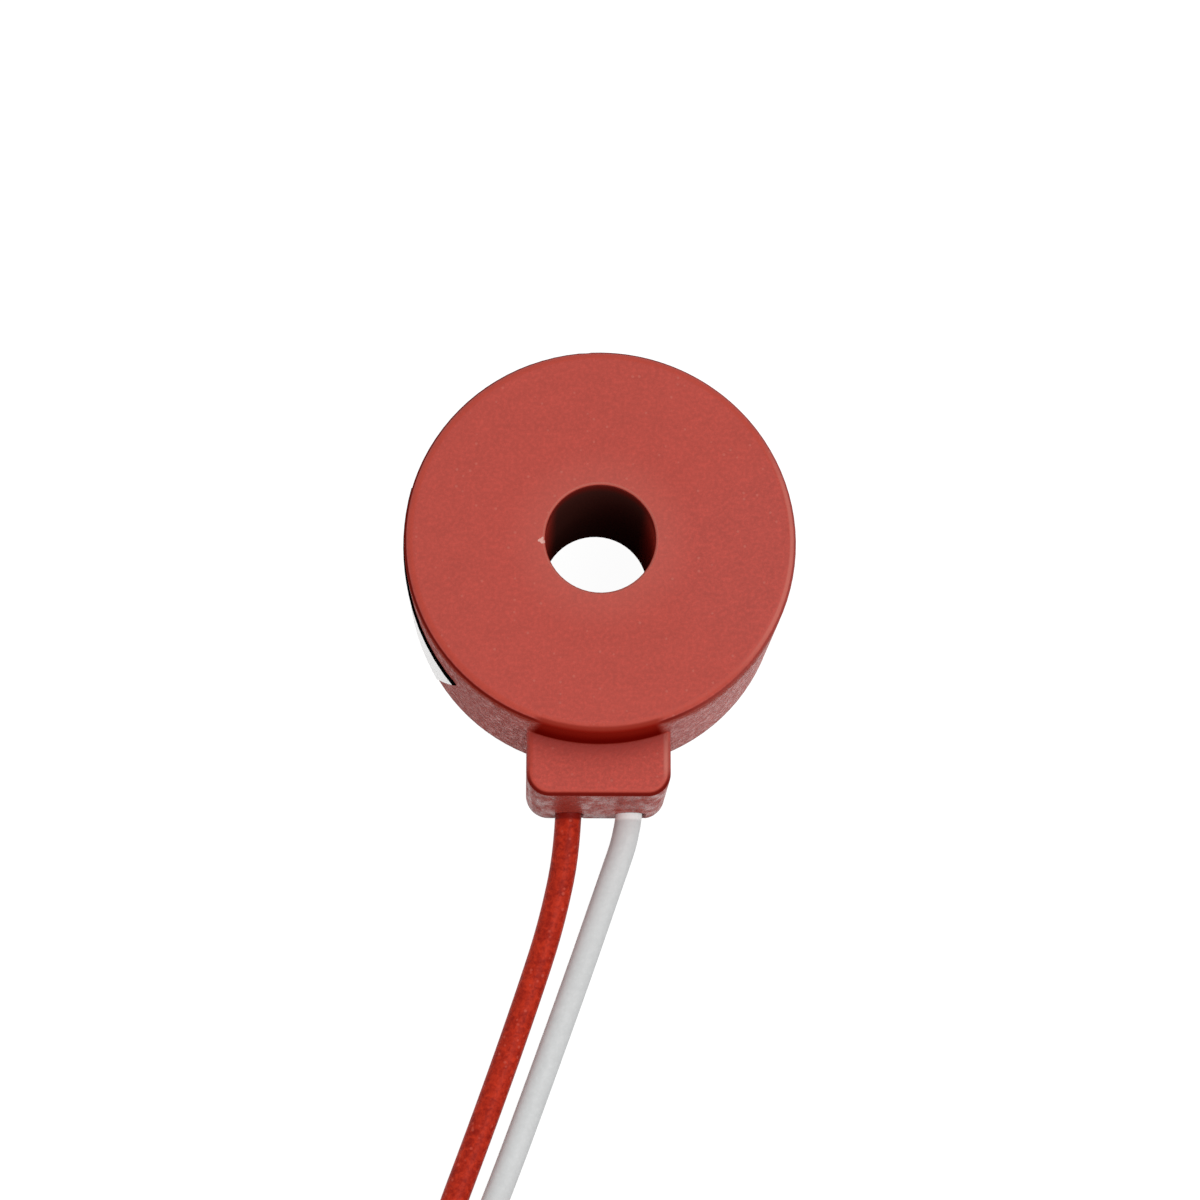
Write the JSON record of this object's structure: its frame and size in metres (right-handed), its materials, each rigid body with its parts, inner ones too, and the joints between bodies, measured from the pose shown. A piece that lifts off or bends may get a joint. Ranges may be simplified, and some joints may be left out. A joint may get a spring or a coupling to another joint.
{
  "type": "current transformer",
  "caption": "Ring-shaped current transformer in a red moulded case, potted from the back, with a central hole for the primary conductor, a side block and two coiled flying leads.",
  "frame": {"origin": "on the axis of the primary hole, in the plane of the back edge of the case", "axes": "+Z along the axis of the hole, from the potted back to the moulded front face; -Y towards the lead block; +X to the side of the white lead. The part is stored lying on its back."},
  "size_m": [0.021, 0.0669, 0.0112],
  "materials": {
    "red_plastic": "fine matte moulded finish",
    "resin": "cast epoxy, slightly glossy",
    "core_strip": "wound strip, bluish grey",
    "core_box": "moulded, natural white",
    "enamelled_copper": "enamelled wire",
    "yellow_tape": "polyester tape",
    "label": "white vinyl with a black edge line, blank",
    "tie": "natural nylon",
    "tinned_copper": "tinned strands",
    "solder": "solder",
    "sleeve": "black shrink sleeve",
    "red_insulation": "soft PVC insulation",
    "white_insulation": "soft PVC insulation"
  },
  "bodies": {
    "root": {"case": "red_plastic", "potting_compound": "resin", "core": "core_strip", "core_case_cup": "core_box", "core_case_lid": "core_box", "secondary_winding": "enamelled_copper", "winding_tape": "yellow_tape", "side_label": "label", "coil_tie": "tie", "red_tail": "enamelled_copper", "white_tail": "enamelled_copper", "red_conductor": "tinned_copper", "white_conductor": "tinned_copper", "red_lead_tip": "tinned_copper", "white_lead_tip": "tinned_copper", "red_joint": "solder", "white_joint": "solder", "red_sleeve": "sleeve", "white_sleeve": "sleeve", "red_lead": "red_insulation", "red_lead_coil": "red_insulation", "white_lead": "white_insulation", "white_lead_coil": "white_insulation"}
  },
  "joints": []
}
